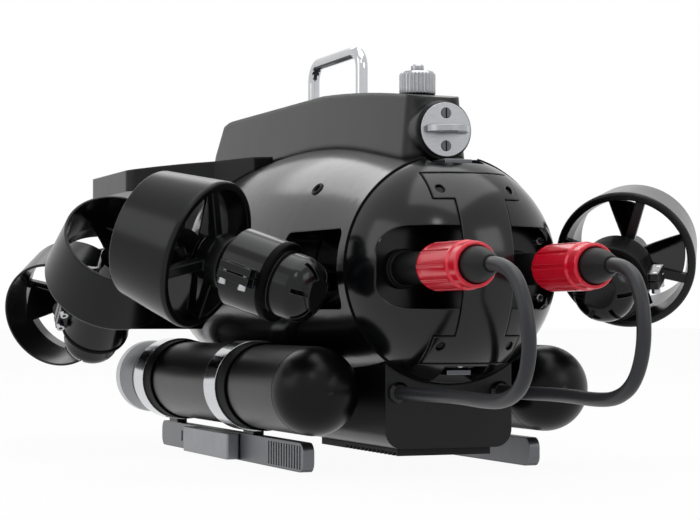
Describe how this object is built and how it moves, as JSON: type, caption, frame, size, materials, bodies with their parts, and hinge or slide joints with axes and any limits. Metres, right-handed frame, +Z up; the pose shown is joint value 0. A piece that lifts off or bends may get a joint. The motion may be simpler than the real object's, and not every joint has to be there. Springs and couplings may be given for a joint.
{
  "type": "underwater inspection vehicle",
  "caption": "Compact underwater inspection vehicle: ball-ended hull, ducted thrusters on split clamps, battery tubes on skids and looped stern cables",
  "frame": {"origin": "midway along the vehicle without its cables, on its centre plane, at the ground under the skids", "axes": "+X to starboard, +Y ahead, +Z up"},
  "size_m": [0.4362, 0.6918, 0.305],
  "materials": {
    "gloss_shell": "moulded and polished, gloss black",
    "satin_shell": "moulded, satin black",
    "matte_duct": "moulded, fine matte black",
    "anodised_black": "hard anodised, gloss black",
    "anodised_grey": "hard anodised, dark grey",
    "brushed_stainless": "brushed stainless steel",
    "polished_stainless": "polished stainless steel",
    "red_anodised": "anodised, bright red",
    "black_rubber": "moulded rubber, matt",
    "cable_jacket": "extruded cable jacket, satin",
    "pewter_cap": "anodised, mid grey",
    "clear_acrylic": "cast and polished, clear",
    "screw_steel": "turned stainless steel"
  },
  "bodies": {
    "vehicle": {"ballast_blocks": "anodised_grey", "battery_end_caps": "pewter_cap", "battery_tubes": "gloss_shell", "bow_thruster_arms": "anodised_black", "bulkhead_connectors": "black_rubber", "cable_glands": "anodised_black", "cable_left": "cable_jacket", "cable_right": "cable_jacket", "camera_yoke": "anodised_grey", "cap_latches": "brushed_stainless", "clamp_screws": "screw_steel", "cover_screws": "screw_steel", "dome_ring": "anodised_black", "dome_window": "clear_acrylic", "duct_bow_port": "matte_duct", "duct_bow_starboard": "matte_duct", "duct_midship_port": "matte_duct", "duct_midship_starboard": "matte_duct", "duct_stern_port": "matte_duct", "duct_stern_starboard": "matte_duct", "end_plate_screws": "screw_steel", "front_deck": "satin_shell", "keel": "satin_shell", "keel_pad": "black_rubber", "lamp_lenses": "clear_acrylic", "lamps": "anodised_black", "lift_handle": "polished_stainless", "main_fairing": "gloss_shell", "midship_thruster_arms": "anodised_black", "motor_bow_port": "anodised_black", "motor_bow_starboard": "anodised_black", "motor_midship_port": "anodised_black", "motor_midship_starboard": "anodised_black", "motor_stern_port": "anodised_black", "motor_stern_starboard": "anodised_black", "plug_left": "black_rubber", "plug_right": "black_rubber", "pressure_tube": "anodised_black", "rear_cap": "gloss_shell", "rear_end_plate": "anodised_black", "skid_rails": "anodised_grey", "stern_thruster_arms": "anodised_black", "strap_cover": "gloss_shell", "strap_liners": "black_rubber", "tether_plate": "brushed_stainless", "top_fairing": "satin_shell", "tube_saddles": "satin_shell", "tube_straps": "brushed_stainless", "vent_base": "brushed_stainless"},
    "propeller_stern_port_body": {"propeller_stern_port": "matte_duct"},
    "propeller_stern_starboard_body": {"propeller_stern_starboard": "matte_duct"},
    "propeller_midship_port_body": {"propeller_midship_port": "matte_duct"},
    "propeller_midship_starboard_body": {"propeller_midship_starboard": "matte_duct"},
    "propeller_bow_port_body": {"propeller_bow_port": "matte_duct"},
    "propeller_bow_starboard_body": {"propeller_bow_starboard": "matte_duct"},
    "sleeve_left_body": {"locking_sleeve_left": "red_anodised"},
    "sleeve_right_body": {"locking_sleeve_right": "red_anodised"},
    "vent_cap_body": {"vent_cap": "brushed_stainless"},
    "camera_body": {"camera_tilt": "anodised_black", "camera_lens": "clear_acrylic"}
  },
  "joints": [
    {"name": "spin_stern_port", "type": "hinge", "parent": "vehicle", "child": "propeller_stern_port_body", "pos_m": [-0.1541, -0.174, 0.1433], "axis": [0.6282, -0.7126, -0.3123], "continuous": true},
    {"name": "spin_stern_starboard", "type": "hinge", "parent": "vehicle", "child": "propeller_stern_starboard_body", "pos_m": [0.1541, -0.174, 0.1433], "axis": [-0.6282, -0.7126, -0.3123], "continuous": true},
    {"name": "spin_midship_port", "type": "hinge", "parent": "vehicle", "child": "propeller_midship_port_body", "pos_m": [-0.1574, 0.067, 0.1317], "axis": [0, 0.7738, -0.6334], "continuous": true},
    {"name": "spin_midship_starboard", "type": "hinge", "parent": "vehicle", "child": "propeller_midship_starboard_body", "pos_m": [0.1574, 0.067, 0.1317], "axis": [0, 0.7738, -0.6334], "continuous": true},
    {"name": "spin_bow_port", "type": "hinge", "parent": "vehicle", "child": "propeller_bow_port_body", "pos_m": [-0.1445, 0.2149, 0.1203], "axis": [0.6282, 0.7126, 0.3123], "continuous": true},
    {"name": "spin_bow_starboard", "type": "hinge", "parent": "vehicle", "child": "propeller_bow_starboard_body", "pos_m": [0.1445, 0.2149, 0.1203], "axis": [-0.6282, 0.7126, 0.3123], "continuous": true},
    {"name": "turn_sleeve_left", "type": "hinge", "parent": "vehicle", "child": "sleeve_left_body", "pos_m": [-0.04, -0.31, 0.1345], "axis": [0, 1, 0], "continuous": true},
    {"name": "turn_sleeve_right", "type": "hinge", "parent": "vehicle", "child": "sleeve_right_body", "pos_m": [0.04, -0.31, 0.1345], "axis": [0, 1, 0], "continuous": true},
    {"name": "turn_vent_cap", "type": "hinge", "parent": "vehicle", "child": "vent_cap_body", "pos_m": [0, -0.16, 0.262], "axis": [0, 0, 1], "continuous": true},
    {"name": "tilt_camera", "type": "hinge", "parent": "vehicle", "child": "camera_body", "pos_m": [0, 0.204, 0.135], "axis": [1, 0, 0], "range_deg": [-45, 45]}
  ]
}
